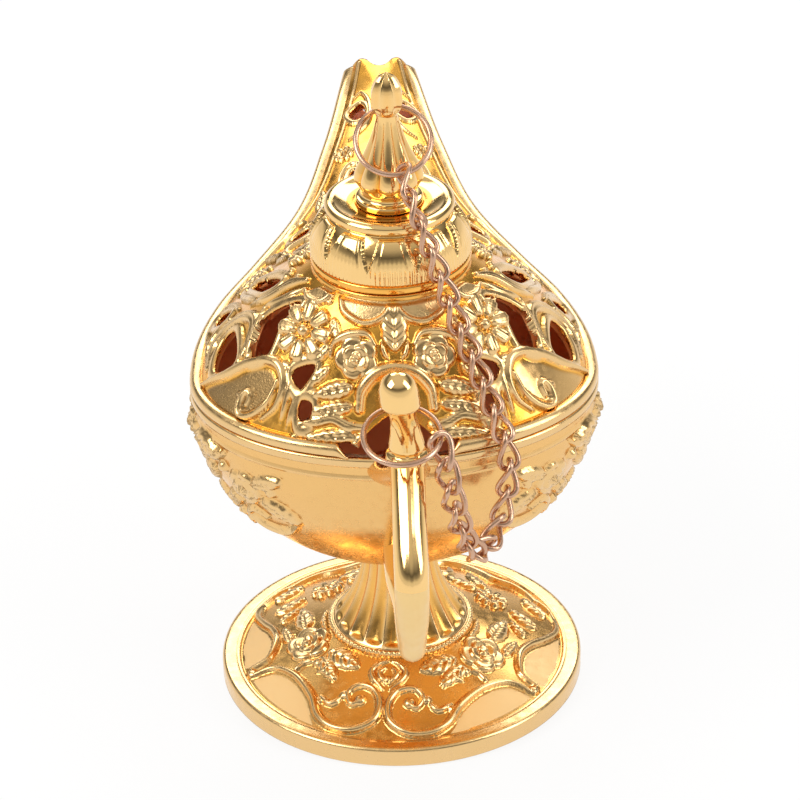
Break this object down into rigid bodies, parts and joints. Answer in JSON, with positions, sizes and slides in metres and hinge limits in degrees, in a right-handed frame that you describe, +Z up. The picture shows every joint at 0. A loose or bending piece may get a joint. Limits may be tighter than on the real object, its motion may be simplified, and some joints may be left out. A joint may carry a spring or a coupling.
{
  "type": "genie oil lamp",
  "caption": "Boat-shaped ornamental oil lamp with a long spout, pierced cover, fluted foot, loop handle and a lift-off lid held by a chain.",
  "frame": {"origin": "centre of the foot's ring, on the plane that the lamp stands on", "axes": "+Z up, +Y along the spout, -Y to the handle, +X to the right when seen from the handle's side"},
  "size_m": [0.0548, 0.1114, 0.0915],
  "materials": {
    "gilded_metal": "bright gold plating on a casting, with darker orange recesses",
    "zinc_plated_steel": "plain zinc plating",
    "copper_wire": "rose copper plating on drawn wire"
  },
  "bodies": {
    "body": {"foot": "gilded_metal", "foot_washer": "zinc_plated_steel", "foot_screw": "zinc_plated_steel", "bowl": "gilded_metal", "cover": "gilded_metal", "handle": "gilded_metal", "chain_link_01": "copper_wire", "chain_link_02": "copper_wire", "chain_link_03": "copper_wire", "chain_link_04": "copper_wire", "chain_link_05": "copper_wire", "chain_link_06": "copper_wire", "chain_link_07": "copper_wire", "chain_link_08": "copper_wire", "chain_link_09": "copper_wire", "chain_link_10": "copper_wire", "chain_link_11": "copper_wire", "chain_link_12": "copper_wire", "chain_link_13": "copper_wire", "chain_link_14": "copper_wire", "chain_link_15": "copper_wire", "chain_link_16": "copper_wire", "chain_link_17": "copper_wire", "chain_link_18": "copper_wire", "chain_link_19": "copper_wire", "chain_link_20": "copper_wire", "chain_link_21": "copper_wire"},
    "lid_ring": {"finial_ring": "copper_wire"},
    "lid": {"lid": "gilded_metal", "finial": "gilded_metal", "finial_nut": "zinc_plated_steel"},
    "handle_ring": {"handle_ring": "copper_wire"}
  },
  "joints": [
    {"name": "lid_lift", "type": "slide", "parent": "body", "child": "lid_ring", "axis": [0, 0, 1], "range_m": [0, 0.02], "deforming": ["chain_link_01", "chain_link_02", "chain_link_03", "chain_link_04", "chain_link_05", "chain_link_06", "chain_link_07", "chain_link_08", "chain_link_09", "chain_link_10", "chain_link_11", "chain_link_12", "chain_link_13", "chain_link_14", "chain_link_15", "chain_link_16", "chain_link_17", "chain_link_18", "chain_link_19", "chain_link_20", "chain_link_21"]},
    {"name": "lid_turn", "type": "hinge", "parent": "lid_ring", "child": "lid", "pos_m": [0, 0, 0.0646], "axis": [0, 0, 1], "continuous": true},
    {"name": "handle_ring_turn", "type": "hinge", "parent": "body", "child": "handle_ring", "pos_m": [0.0003, -0.033, 0.057], "axis": [0, -0.309, 0.9511], "continuous": true}
  ]
}
